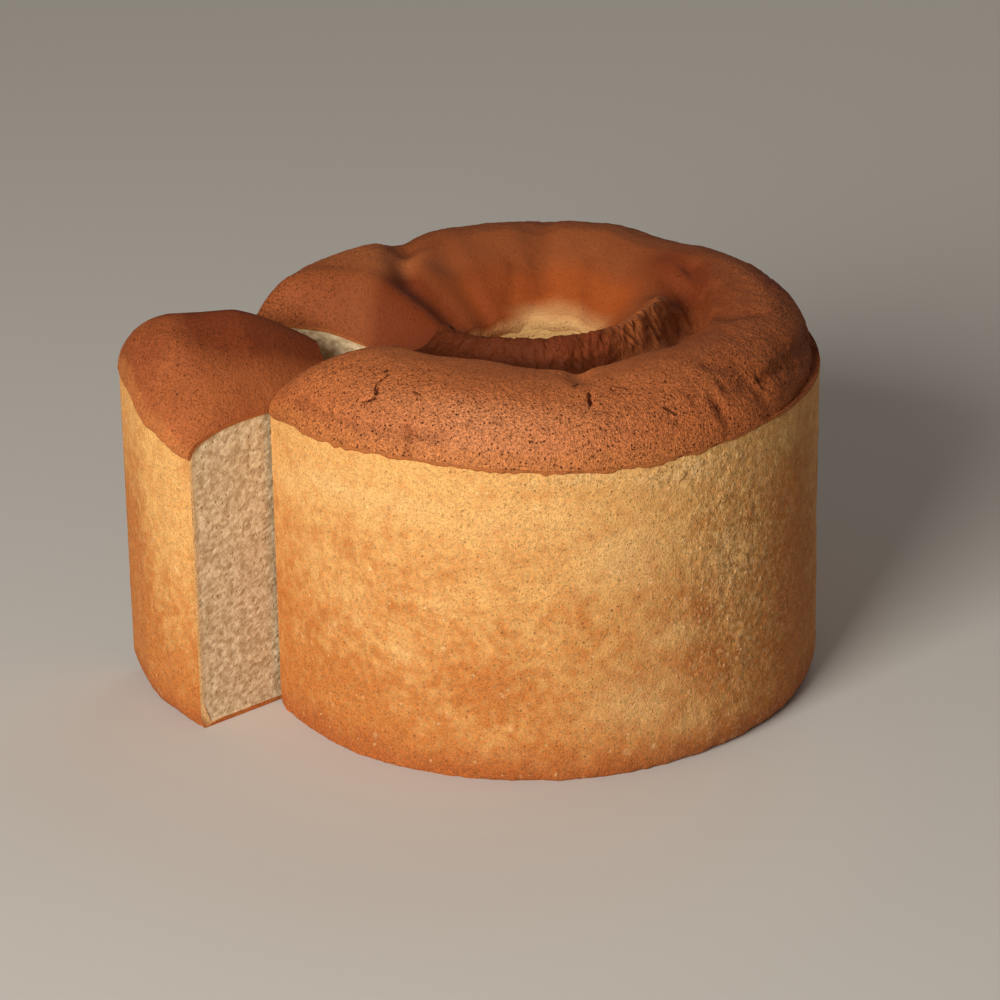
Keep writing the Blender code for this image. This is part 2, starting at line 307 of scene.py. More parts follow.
def smooth_step(t):
    t = np.clip(t, 0, 1)
    return t * t * (3 - 2 * t)


def ramp(value, start, end):
    """0 at start and 1 at end, smooth between and level outside. The end may lie below the start."""
    return smooth_step((value - start) / (end - start))


def hump(distance, width):
    return np.exp(-((distance / width) ** 2))


def swing(az, turns):
    """A value that swings smoothly through (azimuth, value) turns, and is level outside them."""
    angles, values = (np.array(column, float) for column in zip(*turns))
    place = np.interp(az, angles, np.arange(len(angles)))
    first = np.minimum(place.astype(int), len(angles) - 2)
    return values[first] + (values[first + 1] - values[first]) * smooth_step(place - first)


def through(az, turns):
    """The same in metres, from turns in mm."""
    return swing(az, turns) * MM


def on_plan(az, r):
    return r * np.cos(np.radians(az)), r * np.sin(np.radians(az))


def distance_to_path(x, y, path):
    """Distance on plan to a line through (azimuth, radius in mm) points."""
    corners = [on_plan(az, r * MM) for az, r in path]
    nearest = np.full(np.shape(x), np.inf)
    for (ax, ay), (bx, by) in zip(corners, corners[1:]):
        run_x, run_y = bx - ax, by - ay
        along = np.clip(((x - ax) * run_x + (y - ay) * run_y) / (run_x**2 + run_y**2), 0, 1)
        nearest = np.minimum(nearest, np.hypot(x - ax - along * run_x, y - ay - along * run_y))
    return nearest


def off_cut(az, r, cut):
    """Distance from the plane of a cut."""
    return r * np.sin(np.radians(np.minimum(np.abs(az - cut), 90)))


def drag(az, r, cut, amount):
    """How far the knife has pulled the crust down, from a cut at this azimuth."""
    depth, reach = amount
    return depth * np.clip(1 - off_cut(az, r, cut) / reach, 0, 1) ** 2


def shoulder(r, foot_r, crest_r):
    """1 from the crest inwards, down to 0 at the dome's foot, along a rounded shoulder."""
    out = np.clip((r - crest_r) / (foot_r - crest_r), 0, 1)
    return np.sqrt(1 - out**2) ** SHOULDER_POWER


def down_to_hole(r, start):
    """0 from the start of the slope outwards, and 1 at the hole's edge."""
    return np.clip((start - r) / (start - HOLE_RADIUS), 0, 1)


def fall(r, amount):
    """The smooth slope from inside the crest down to the hole's edge."""
    start, drop = amount
    return drop * down_to_hole(r, start) ** INNER_FALL_POWER


def lobe_roll(az, r):
    """How far the lobe has rolled down towards its inner edge."""
    crest_r = through(az, RING_CREST_RADIUS)
    inwards = np.clip((crest_r - r) / (crest_r - through(az, RING_LOBE_EDGE)), 0, 1)
    return through(az, RING_LOBE_ROLL) * inwards**2


def collared(az, r, lobe_z):
    """The lobe's height, turned down at its edge into the groove, and up again over the collar round the hole."""
    lobe_edge = through(az, RING_LOBE_EDGE)
    inside = ramp(r, lobe_edge + LOBE_EDGE_WIDTH / 2, lobe_edge - LOBE_EDGE_WIDTH / 2)
    rise = through(az, RING_COLLAR_HEIGHT) - GROOVE_HEIGHT
    collar = GROOVE_HEIGHT + rise * hump(r - through(az, RING_COLLAR_RADIUS), COLLAR_WIDTH)
    return lobe_z + (collar - lobe_z) * inside


def ring_side(az):
    return through(az, RING_SIDE_RADIUS)


def ring_foot(az):
    """Radius of the dome's foot."""
    return ring_side(az) - LEDGE_SETBACK * swing(az, RING_LEDGE)


def ring_height(az, r):
    """Height of the ring's crust at this azimuth and radius."""
    x, y = on_plan(az, r)
    foot_r = ring_foot(az)
    rim_z = through(az, RING_RIM_HEIGHT)
    dragged = drag(az, r, FRONT_CUT, RING_FRONT_DRAG) + drag(az, r, BACK_CUT + 360, RING_BACK_DRAG)
    rise = through(az, RING_CREST_HEIGHT) - rim_z - dragged
    dome = rim_z + rise * shoulder(r, foot_r, through(az, RING_CREST_RADIUS)) - lobe_roll(az, r)
    with_collar = swing(az, RING_COLLAR)
    z = with_collar * collared(az, r, dome) + (1 - with_collar) * (dome - fall(r, RING_FALL))
    z = z - swing(az, RING_LEDGE) * LEDGE_GROOVE * hump(r - foot_r, LEDGE_WIDTH)
    for depth, half_width, path in RING_CREASES:
        z = z - depth * MM * hump(distance_to_path(x, y, path), half_width * MM)
    return z


def wedge_side(az):
    return through(az, WEDGE_SIDE_RADIUS)


def wedge_sag(az, r):
    """How far the wedge's crust hangs down towards its front cut."""
    near = np.clip(1 - (WEDGE_FRONT_CUT - az) / SAG_TURN, 0, 1)
    return WEDGE_SAG * (1 - SAG_LOST_AT_TIP * down_to_hole(r, WEDGE_FALL[0])) * near**SAG_POWER


def wedge_height(az, r):
    """Height of the wedge's crust, at its azimuth and radius in the whole cake."""
    rim_z = through(az, WEDGE_RIM_HEIGHT)
    dragged = wedge_sag(az, r) + drag(az, r, BACK_CUT, WEDGE_BACK_DRAG)
    rise = through(az, WEDGE_CREST_HEIGHT) - rim_z - dragged
    return rim_z + rise * shoulder(r, wedge_side(az), through(az, WEDGE_CREST_RADIUS)) - fall(r, WEDGE_FALL)


class Form:
    """One part of the cake: its cuts, its form by azimuth, and where it stands."""

    def __init__(self, node, cuts, height, side, foot, swings, ledge, turn=0.0, axis=(0.0, 0.0)):
        self.node, self.cuts, self.height, self.side, self.foot = node, cuts, height, side, foot
        self.crest, self.rim, self.inset = (functools.partial(through, turns=turns) for turns in swings)
        self.ledge = functools.partial(swing, turns=ledge)
        self.turn, self.axis = turn, axis

    def off_cuts(self, az, r):
        """Distance from the nearer of the two cuts."""
        return np.minimum(*(off_cut(az, r, cut) for cut in self.cuts))

    def near_cut(self, az, r):
        """1 by a cut, fading out a few mm away."""
        return ramp(self.off_cuts(az, r), 5.5 * MM, 1.5 * MM)

    def place(self, az, r, z):
        """Points of the standing cake from azimuth, radius and height."""
        x, y = on_plan(az + self.turn, r)
        shift = np.add(self.axis, CAKE_AXIS)
        return np.stack(np.broadcast_arrays(x + shift[0], y + shift[1], z), axis=-1)

    def outward(self, az):
        """Unit vectors away from the axis."""
        turned = np.radians(az + self.turn)
        return np.stack([np.cos(turned), np.sin(turned), 0 * turned], axis=-1)

    def across(self, az):
        """Unit vectors round the axis, square to the outward ones."""
        return self.outward(az + 90)


RING_SWINGS = (RING_CREST_RADIUS, RING_RIM_HEIGHT, RING_FOOT_INSET)
RING = Form("cake", (FRONT_CUT, BACK_CUT + 360), ring_height, ring_side, ring_foot, RING_SWINGS, RING_LEDGE)
WEDGE = Form(
    "slice",
    (BACK_CUT, WEDGE_FRONT_CUT),
    wedge_height,
    wedge_side,
    wedge_side,
    (WEDGE_CREST_RADIUS, WEDGE_RIM_HEIGHT, WEDGE_FOOT_INSET),
    WEDGE_LEDGE,
    WEDGE_TURN,
    WEDGE_AXIS,
)


# ---- Lumps and pores ----


def cell_value(cells, seed):
    """A value from 0 to 1 for each whole-numbered cell, the same in every run."""
    mixed = (cells[0] * 73856093) ^ (cells[1] * 19349663) ^ (cells[2] * 83492791) ^ (seed * 26544357)
    mixed = mixed & 0xFFFFFFFF
    mixed = ((mixed ^ (mixed >> 15)) * 0x2C1B3C6D) & 0xFFFFFFFF
    mixed = ((mixed ^ (mixed >> 12)) * 0x297A2D39) & 0xFFFFFFFF
    return ((mixed ^ (mixed >> 15)) & 0xFFFFFF) / 0xFFFFFF


def lumps(points, size, seed):
    """Smooth lumps from -1 to 1, of about this size in mm."""
    place = np.moveaxis(points, -1, 0) / (size * MM)
    cell = np.floor(place).astype(np.int64)
    part = smooth_step(place - cell)
    total = np.zeros(points.shape[:-1])
    for corner in itertools.product((0, 1), repeat=3):
        weight = np.ones(points.shape[:-1])
        for share, side in zip(part, corner):
            weight = weight * (share if side else 1 - share)
        total += weight * cell_value([c + side for c, side in zip(cell, corner)], seed)
    return total * 2 - 1


def layered(points, layers):
    """Height of layers of lumps."""
    return sum(height * MM * lumps(points, size, seed) for height, size, seed in layers)


def nudge(points, amount, size, seed):
    """A small uneven shift of the points, which keeps what is scattered over them from lying in rows."""
    return amount * MM * lumps(points, size, seed)[..., None]


def pits(points, spacing, least, most, chance, seed):
    """How deep each point lies in scattered round pores: 0 outside them and 1 in the middle of one. Sizes in mm."""
    place = np.moveaxis(points, -1, 0) / (spacing * MM)
    cell = np.floor(place).astype(np.int64)
    deepest = np.zeros(points.shape[:-1])
    for corner in itertools.product((-1, 0, 1), repeat=3):
        near = [c + side for c, side in zip(cell, corner)]
        away = sum((p - n - cell_value(near, seed + i)) ** 2 for i, (p, n) in enumerate(zip(place, near)))
        radius = (least + (most - least) * cell_value(near, seed + 3) ** 2) / spacing
        there = cell_value(near, seed + 4) < chance
        deepest = np.maximum(deepest, there * np.clip(1 - away / radius**2, 0, 1))
    return deepest


def patched(az, height, patches):
    """0 to 1 where soft-edged patches of (azimuth, height in mm, half widths, strength) lie."""
    total = np.zeros(np.shape(height))
    for centre, middle, half_az, half_height, strength in patches:
        away = ((az - centre) / half_az) ** 2 + ((height - middle) / half_height) ** 2
        total = np.maximum(total, strength * np.exp(-away))
    return total


def normals_of(grid):
    """Unit normals of a grid of points by column and row."""
    normal = np.cross(np.gradient(grid, axis=1), np.gradient(grid, axis=0))
    return normal / np.maximum(np.linalg.norm(normal, axis=-1, keepdims=True), 1e-12)


# ---- Meshes ----


def grid_faces(columns, rows, start=0, closed=False):
    """Quads of a (columns, rows) grid of points, the rows joined end to start if closed."""
    column, row = np.meshgrid(np.arange(columns - 1), np.arange(rows if closed else rows - 1), indexing="ij")
    beside = (row + 1) % rows
    corners = (column * rows + row, column * rows + beside, (column + 1) * rows + beside, (column + 1) * rows + row)
    return np.stack(corners, axis=-1).reshape(-1, 4) + start


def piece(name, points, faces, marks, material, form):
    """A piece of the cake with its surface marks, that stands for its solid and rides with it."""
    mesh = bpy.data.meshes.new(name)
    mesh.from_pydata(points.reshape(-1, 3), [], faces)
    mesh.validate()
    mesh.update()
    for mark, values in marks.items():
        layer = mesh.attributes.new(mark, "FLOAT", "POINT")
        layer.data.foreach_set("value", np.ascontiguousarray(values, np.float32).ravel())
    mesh.shade_smooth()
    mesh.set_sharp_from_angle(angle=math.radians(SHARP_ANGLE))
    mesh.materials.append(material)
    made = bpy.data.objects.new(name, mesh)
    bpy.context.scene.collection.objects.link(made)
    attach(made, "root")
    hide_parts(form.node)
    return made


def swept(name, sections, marks, material, form):
    """A closed shell from (column, row) sections whose ends are capped."""
    columns, rows = sections.shape[:2]
    faces = [tuple(face) for face in grid_faces(columns, rows, closed=True)]
    last = (columns - 1) * rows
    faces.append(tuple(range(rows))[::-1])
    faces.append(tuple(range(last, last + rows)))
    return piece(name, sections, faces, marks, material, form)


def spread(form, front_columns, back_columns=0):
    """Azimuths of a part's columns, closer together at the front."""
    start, end = form.cuts
    if not back_columns:
        return np.linspace(start, end, front_columns)
    front = np.linspace(start, FRONT_END, front_columns, endpoint=False)
    return np.concatenate([front, np.linspace(FRONT_END, end, back_columns)])


# ---- Crust ----


def crust_top(form, az):
    """(column, row) radii and heights from the hole's edge over the crest to the rim."""
    crest, foot = form.crest(az)[:, None], form.foot(az)[:, None]
    plain = 1 - form.ledge(az)[:, None]
    rim = form.side(az)[:, None] + CRUST_LIP * (1 - LEDGE_ROLL * (1 - plain))
    inner = np.linspace(0, 1, CRUST_INNER_ROWS, endpoint=False) ** INNER_CROWDING
    turn = np.sin(np.linspace(0, math.pi / 2, CRUST_SHOULDER_ROWS))
    ledge = np.linspace(0, 1, CRUST_LIP_ROWS + 1)[1:]
    start = HOLE_RADIUS - HOLE_LIP
    inner_r = start + (crest - start) * inner
    # Where there is no ledge, the shoulder itself comes down to the lip.
    shoulder_r = crest + (foot - crest) * turn
    reach = plain * (CRUST_LIP - LIP_ROUNDING)
    ledge_r = foot + reach + (rim - foot - reach) * ledge
    ledge_z = form.height(az[:, None], ledge_r) - plain * LIP_ROUNDING * ledge
    r = np.hstack([inner_r, shoulder_r + reach * turn, ledge_r])
    z = np.hstack([form.height(az[:, None], np.hstack([inner_r, shoulder_r])), ledge_z])
    return r, z


def back_slope(form, az, r):
    """1 on the smooth slope behind the hole and on the back lobes, fading out over the crest."""
    if form is WEDGE:
        return 0 * r
    return ramp(az, 372, 402) * ramp(r, 64 * MM, 46 * MM)


def collar_relief(az, r, points):
    """(height, crease shade mark) of the crumpled collar round the hole: painted shade between its folds, in the dark
    groove outside it and over the collar where it lies out of the light.
    """
    collar, lobe_edge = swing(az, RING_COLLAR), through(az, RING_LOBE_EDGE)
    pushed = points + nudge(points, 1.6, 4.5, 60)
    broad, medium, fine = (1 - 2.4 * np.abs(lumps(pushed, size, seed)) for size, seed in COLLAR_FOLDS)
    right = ramp(az, 262, 292)
    on_collar = hump(r - through(az, RING_COLLAR_RADIUS) - 2 * MM, 6 * MM) * collar
    folds = (0.25 + 0.1 * right) * broad + 0.45 * medium + (0.45 - 0.15 * right) * fine
    folds = folds * on_collar
    shade_between_folds = np.clip(-0.05 - folds, 0, 1) * 0.6 * on_collar
    shade_in_groove = ramp(r, 28 * MM, 29 * MM) * ramp(r, lobe_edge, lobe_edge - 2 * MM)
    shade_in_groove = shade_in_groove * ramp(points[..., 2], 102.9 * MM, 101 * MM) * collar * (1 - 0.5 * ramp(az, 290, 320))
    # Painted shade: the collar is dark on its left and comes out into the light towards the right.
    shaded = 0.86 - 0.72 * ramp(az, 256, 290) + 0.12 * ramp(az, 246, 226)
    inside = ramp(r, lobe_edge, lobe_edge - 3 * MM) * collar * shaded
    return COLLAR_FOLD_DEPTH * folds, np.maximum.reduce([shade_between_folds, shade_in_groove, inside])


def crust_relief(form, az, r, points, depth):
    """(height off the smooth crust, marks) of the crust's lumps, folds, splits and pores."""
    edge_fade = ramp(form.off_cuts(az, r), 0, 1.2 * MM) * (1 - 0.6 * ramp(r - form.side(az), -2.5 * MM, -0.5 * MM))
    rough = (0.45 + 0.55 * ramp(r, 48 * MM, 64 * MM)) * (1 - 0.7 * back_slope(form, az, r))
    if form is WEDGE:
        rough = 0.6 * rough
    relief = layered(points, CRUST_LUMPS) + rough * layered(points, CRUST_GRAIN)
    crease_shade, split = np.zeros(r.shape), np.zeros(r.shape)
    if form is RING:
        x, y = on_plan(az, r)
        ragged = layered(points, SPLIT_RAGGEDNESS)
        for deep, half_width, path in CRUST_SPLITS:
            away = distance_to_path(x, y, path)
            relief = relief - SPLIT_DEPTH * deep * MM * hump(np.maximum(away + ragged, 0), half_width * MM)
            split = np.maximum(split, np.clip(1 - away / (SPLIT_REACH * half_width * MM), 0, 1))
        for deep, half_width, path in CRUST_FOLDS:
            fold = hump(distance_to_path(x, y, path) + ragged, half_width * MM)
            relief = relief - deep * MM * fold
            crease_shade = np.maximum(crease_shade, FOLD_SHADE * deep * fold)
        collar, collar_shade = collar_relief(az, r, points)
        relief = relief + collar
        crease_shade = np.maximum(crease_shade, collar_shade)
    spread_out = points + nudge(points, 0.35, 1.1, 20)
    large = pits(spread_out, *CRUST_WIDE_PORES)
    small = pits(spread_out, *CRUST_FINE_PORES)
    relief = relief - depth * rough * (large**0.7 + 0.5 * small)
    pore = np.clip(large * 1.2 + small * 0.5, 0, 1) * rough
    return relief * edge_fade, {"pore": pore, "crease_shade": crease_shade, "split": split}


def ring_tint(az, r, points, tone_and_shade, broad, outer):
    """The ring's browning, with painted shade where it faces away from the light and a painted highlight over the
    crest by the back cut.
    """
    out, lobe_edge = r / MM, swing(az, RING_LOBE_EDGE)
    # Painted shade: behind the hole the crust takes a darker copy of its colour.
    back = ramp(az, 372, 402) * ramp(out, 78, 66)
    inside = ramp(out, lobe_edge, lobe_edge - 3) * swing(az, RING_COLLAR)
    # Painted shade: darker towards the right of the front and towards the hole, and darkest in the collar, where the
    # crust lies out of the light.
    tone_and_shade = tone_and_shade + (1 - back) * (1 - inside) * (0.35 * ramp(az, 285, 345) + 0.2 * (1 - outer))
    tone_and_shade = tone_and_shade + inside * (1.0 - 0.85 * ramp(az, 285, 330))
    # By the back cut, painted shade darkens the lobe towards the hole and along the crease beside it, and its crest
    # is kept lighter as a painted highlight.
    tone_and_shade = tone_and_shade + 0.9 * ramp(az, 498, 505) * ramp(out, 51, 41)
    lit_left_crest = ramp(az, 484, 496) * ramp(out, 43, 52) * (1 - 0.85 * ramp(az, 508, 522))
    tone_and_shade = tone_and_shade + 0.25 * back * (1 - lit_left_crest) * ramp(az, 480, 495) + 0.2 * back * hump(az - 480, 9)
    shade_by_crease = hump(distance_to_path(*on_plan(az, r), BACK_CREASE), 5 * MM)
    tone_and_shade = tone_and_shade + 0.6 * shade_by_crease * ramp(out, 48, 40) + 0.25 * hump(az - 480, 13) * ramp(out, 46, 38)
    # Painted shade on the right of the crest.
    tone_and_shade = tone_and_shade + 0.35 * hump(az - 378, 14) * ramp(out, 58, 64)
    for centre, middle, half_az, half_r, strength in CRUST_SHADE_AND_HIGHLIGHT_SPOTS:
        tone_and_shade = tone_and_shade + strength * hump(az - centre, half_az) * hump(out - middle, half_r)
    behind = ramp(az, 398, 420) * ramp(az, 474, 450)
    return {
        "tone_and_shade": tone_and_shade,
        "pale": 0.85 * behind * ramp(out - 1.5 * lumps(points, 6, 43), 30.7, 22.7),
        # Partly paler crust, partly a painted highlight where the front shoulder faces the light.
        "salmon_and_sheen": hump(az - 256, 26) * ramp(out, 60, 70) * (0.6 + 0.4 * broad),
        "amber": ramp(az, 390, 410) * ramp(az, 500, 482) * ramp(out, 44, 34),
        "back": back * (1 - 0.85 * lit_left_crest),
        "outer": outer * (1 - 0.6 * lit_left_crest),
    }


def wedge_tint(az, r, tone_and_shade, outer):
    """The wedge's browning, darker all over and most at its far side and tip, as painted shade where it slopes away
    from the light.
    """
    far = ramp(az, WEDGE_FRONT_CUT - 2, WEDGE_FRONT_CUT - 24)
    inner = ramp(r, 70 * MM, 44 * MM)
    nought = 0 * r
    tone_and_shade = tone_and_shade + 0.22 + 0.3 * far + 0.8 * inner * far
    return {"tone_and_shade": tone_and_shade, "pale": nought, "salmon_and_sheen": nought, "amber": nought, "back": nought, "outer": 0.25 * outer}


def crust_tint(form, az, r, points):
    """How the crust is baked from place to place, with painted shade and painted highlight where its light falls
    unevenly, as marks that its material mixes its colours by.
    """
    broad = 0.5 + 0.5 * lumps(points, 17, 41)
    # This mark starts from darker baking at random, and the ring and the wedge add painted shade to it.
    tone_and_shade = 0.12 * broad + 0.12 * (0.5 + 0.5 * lumps(points, 6, 42))
    outer = ramp(r, 46 * MM, 64 * MM)
    if form is RING:
        marks = ring_tint(az, r, points, tone_and_shade, broad, outer)
    else:
        marks = wedge_tint(az, r, tone_and_shade, outer)
    marks["tone_and_shade"] = np.clip(marks["tone_and_shade"], 0, 1)
    wavy = 0.5 * MM * lumps(points, 2.2, 44)
    marks["edge"] = ramp(r - form.side(az) + wavy, -1.2 * MM, 0) * ramp(az, 310, 285)
    return marks


def crust_lip(form, az, rim, rim_z):
    """The lip at the rim, turned under with a ragged edge."""
    ragged = layered(rim, LIP_RAGGEDNESS)
    kept = 1 - LEDGE_ROLL * form.ledge(az)
    turns = []
    for out, drop in LIP_TURN:
        turns.append(form.place(az, form.side(az) + out * MM * kept, rim_z - drop * MM + ragged * min(drop, 1)))
    return np.stack(turns, axis=1)


def crust_hem(form, az, r, z, down, edge_shift):
    """The hem, from its end in the hole up to the crust's edge, whose relief it takes over."""
    hem_az = np.broadcast_to(az[:, None], (len(az), CRUST_HEM_ROWS))
    hem_r = r[:, :1] - HEM_ROLL * (1 - np.maximum(1 - down / HEM_ROLL_END, 0) ** 2) + HEM_TUCK * down**2
    hem_z = z[:, :1] - CRUST_HEM * down
    uneven = layered(form.place(hem_az, hem_r, hem_z), HEM_LUMPS) * np.minimum(down * 4, 1)
    return form.place(hem_az, hem_r + uneven, hem_z) + edge_shift * (1 - np.minimum(down * 2, 1))[..., None]


def build_crust(form, az, name, material, sizes):
    """The baked crust, a shell whose underside lies a few rows apart, out of sight."""
    r, z = crust_top(form, az)
    wide_az = np.broadcast_to(az[:, None], r.shape)
    flat = form.place(wide_az, r, z)
    normal = normals_of(flat)
    relief, marks = crust_relief(form, wide_az, r, flat, sizes.pore_depth)
    marks.update(crust_tint(form, wide_az, r, flat))
    # Where the knife has dragged the crust steeply down, it is smoother.
    across = form.across(wide_az)
    leaning = np.sum(normal * across, axis=-1)
    relief = relief * (1 - ramp(form.off_cuts(wide_az, r), 12 * MM, 8 * MM) * np.abs(leaning))
    top = flat + normal * relief[..., None]
    lip = crust_lip(form, az, flat[:, -1], z[:, -1])
    # By a cut the underside is closer, and stays in the cut's own plane.
    near_cut = form.near_cut(wide_az, r)
    in_plane = normal - across * leaning[..., None]
    in_plane = in_plane / np.linalg.norm(in_plane, axis=-1, keepdims=True)
    inwards = -(normal + (in_plane - normal) * near_cut[..., None])
    inwards = inwards * (sizes.crust_thickness * (1 - 0.55 * near_cut))[..., None]
    under = (flat + inwards)[:, CRUST_UNDER_ROWS][:, ::-1]
    down = np.linspace(1, 0, CRUST_HEM_ROWS, endpoint=False)[None, :] ** 1.5
    hem = crust_hem(form, az, r, z, down, normal[:, :1] * relief[:, :1, None])
    # The hem turns from the crust's own browning to the pale of the crumb, which is less pale low down, and painted
    # shade keeps it darker behind the left of the hole.
    lined = smooth_step(down * 2.5)
    shaded = ramp(az, 452, 476) * ramp(az, 515, 503)
    browning_and_shade = np.maximum(0.45 * ramp(down, 0.3, 0.8), 0.65 * shaded[:, None])
    hidden = (len(az), lip.shape[1] + under.shape[1])
    for mark, values in marks.items():
        end = 1.0 - browning_and_shade if mark == "pale" else 0.0
        on_hem = values[:, :1] + (end - values[:, :1]) * lined
        marks[mark] = np.hstack([values, np.full(hidden, UNDER_CRUST_MARKS.get(mark, 0.0)), on_hem])
    return swept(name, np.concatenate([top, lip, under, hem], axis=1), marks, material, form)


# ---- Skin ----


def skin_relief(form, az, z, points, depth):
    """(height off the smooth side, marks) of the skin's lumps, grain and pores."""
    height = z / MM
    coarse = patched(az, height, COARSE_PATCHES)
    bottom = ramp(height, 7, 0)
    relief = layered(points, SKIN_LUMPS)
    relief = relief + (0.05 + 0.14 * coarse + 0.12 * bottom) * MM * lumps(points, 3.0, 105)
    relief = relief + (0.05 + 0.12 * coarse + 0.05 * bottom) * MM * lumps(points, 1.7, 106)
    relief = relief + 0.40 * MM * np.maximum(lumps(points, 2.4, 107), -0.2) * ramp(height, 3, 0)
    spread_out = points + nudge(points, 0.4, 1.3, 120)
    pores = pits(spread_out, 3.0, 0.25, 0.60, 0.30 + 0.5 * coarse, 121)
    relief = relief - 0.7 * depth * pores
    pale = patched(az, height, PALE_PATCHES)
    blotch = lumps(points, 9, 111) * 0.45 + lumps(points, 3.6, 112) * 0.55
    if form is RING:
        low = np.clip((88 - height) / 80, 0, 1)
        toast = 0.06 + 0.72 * low + 0.65 * patched(az, height, TOASTED_PATCHES) + 0.34 * blotch - 0.5 * pale
    else:
        # Toasted at the far side and low down, and pale by the front cut and under the crust.
        far = ramp(az, 192, 174) * (0.25 + 0.75 * ramp(height, 80, 50))
        toast = 0.15 + 0.85 * far + 0.85 * ramp(height, 58, 6) + 0.22 * blotch
    marks = {
        "pore": pores,
        "toast": np.clip(toast, 0, 1),
        "pale": np.clip(pale, 0, 1),
        "foot": ramp(height - 2.5 * lumps(points, 6, 113), 13, 0),
        "fleck": pits(spread_out, 4.4, 0.5, 1.2, 0.35 + 0.3 * coarse, 131),
        "coarse": coarse,
    }
    return relief, marks


def skin_side(form, az, top_z):
    """(column, row) radii and heights down the side and round the foot."""
    side = form.side(az)
    side_z = FOOT_HEIGHT + (top_z - FOOT_HEIGHT) * np.linspace(1, 0, SKIN_SIDE_ROWS)
    turn = np.linspace(0, math.pi / 2, SKIN_FOOT_ROWS + 1)[1:]
    foot_r = side - form.inset(az) * (1 - np.cos(turn))
    foot_z = np.broadcast_to(FOOT_HEIGHT * (1 - np.sin(turn)), foot_r.shape)
    return np.hstack([np.broadcast_to(side, side_z.shape), foot_r]), np.hstack([side_z, foot_z])


def skin_inside(form, az, top_z, thickness):
    """(column, row) radii and heights of the hidden rows that come back up the side."""
    back_up = np.linspace(0, 1, SKIN_INSIDE_ROWS)
    low_z = FOOT_HEIGHT + SKIN_UNDER
    r = form.side(az) - thickness - (form.inset(az) + SKIN_UNDER) * (1 - smooth_step(back_up * 4))
    z = SKIN_UNDER + (low_z - SKIN_UNDER) * np.minimum(back_up * 4, 1)
    return r, z + (top_z - low_z) * np.maximum(back_up * 4 - 1, 0) / 3


def build_skin(form, columns, name, material, sizes):
    """The skin of the side and the underside, a shell closed by rows inside it."""
    # The end sections are doubled, so that the skin is pale where the knife went through it.
    az = np.concatenate([columns[:1], columns[:1] + CUT_BAND, columns[1:-1], columns[-1:] - CUT_BAND, columns[-1:]])
    az = az[:, None]
    top_z = form.height(az, form.side(az)) - SKIN_BELOW_RIM
    r, z = skin_side(form, az, top_z)
    wide_az = np.broadcast_to(az, r.shape)
    flat = form.place(wide_az, r, z)
    relief, marks = skin_relief(form, wide_az, z, flat, sizes.pore_depth)
    relief = relief * ramp(form.off_cuts(wide_az, r), 0, 0.8 * MM)
    outer = flat + normals_of(flat) * relief[..., None]
    outer[..., 2] = np.maximum(outer[..., 2], 0.0)
    outer[:, -1, 2] = 0.0
    # The underside runs in to the hole, and the hidden rows come back over it.
    inward = np.linspace(1, 0, SKIN_UNDER_ROWS + 1)[1:]
    under_r = HOLE_RADIUS + (r[:, -1:] - 1.5 * MM - HOLE_RADIUS) * inward
    inside_r, inside_z = skin_inside(form, az, top_z, sizes.skin_thickness)
    back_z = np.hstack([np.full(under_r.shape, SKIN_UNDER), inside_z])
    back = form.place(az, np.hstack([under_r[:, ::-1], inside_r]), back_z)
    sections = np.concatenate([outer, form.place(az, under_r, 0.0), back], axis=1)
    cut_z = np.hstack([z, np.zeros((len(az), sections.shape[1] - z.shape[1]))])
    for mark, values in marks.items():
        below = np.full(under_r.shape, UNDERSIDE_MARKS.get(mark, 0.0))
        inside = INSIDE_MARKS.get(mark, 0.0)
        values = np.hstack([values, below, below, np.full(inside_r.shape, inside)])
        for end in (0, -1):
            values[end] = np.where(cut_z[end] > CUT_PALE_FROM, inside, values[end])
        marks[mark] = values
    return swept(name, sections, marks, material, form)


# ---- Crumb ----


def crumb_top(form, az, r):
    """Height of the crumb, always under the crust that covers it."""
    near_cut = form.near_cut(az, r)
    drop = CRUMB_DROP + (CRUMB_DROP_BY_CUT - CRUMB_DROP) * near_cut
    reach = MM * (1 - 0.85 * near_cut)
    heights = [form.height(az, np.minimum(r + step * reach, form.foot(az))) for step in (-2.2, -1, 0, 1, 2.2)]
    return np.minimum.reduce(heights) - drop


def crumb_point(form, u, v, w):
    """Point of the crumb's block: u round from cut to cut, v outwards from the hole, and w upwards."""
    start, end = form.cuts
    az = start + CRUMB_RECESS + (end - start - 2 * CRUMB_RECESS) * u
    bottom = CRUMB_OFF_FLOOR
    up = np.clip(1 - (bottom + (form.rim(az) - bottom) * w) / (FOOT_HEIGHT + 2 * MM), 0, 1)
    inset = (form.inset(az) + 0.6 * MM) * (1 - np.sqrt(1 - up**2))
    inside = HOLE_RADIUS + CRUMB_OFF_HOLE
    r = inside + (form.side(az) - CRUMB_IN_SIDE - inset - inside) * v
    return az, r, bottom + (crumb_top(form, az, r) - bottom) * w


def crumb_relief(points, deepest):
    """(depth into the crumb, pore mark) of its open, torn texture."""
    drawn = points * (0.75, 0.75, 0.9) + nudge(points, 0.5, 1.5, 200)
    large = pits(drawn, *CRUMB_WIDE_PORES)
    small = pits(drawn, *CRUMB_FINE_PORES)
    rough = 0.5 * lumps(drawn, 1.8, 221) + 0.5 * lumps(drawn, 1.0, 223)
    depth = deepest * (0.7 * large + 0.35 * small + 0.7 * (0.5 - 0.5 * rough))
    depth = depth + 0.25 * MM * (0.5 - 0.5 * lumps(points, 12, 222))
    return depth, np.clip(0.9 * large**0.8 + 0.4 * small, 0, 1)


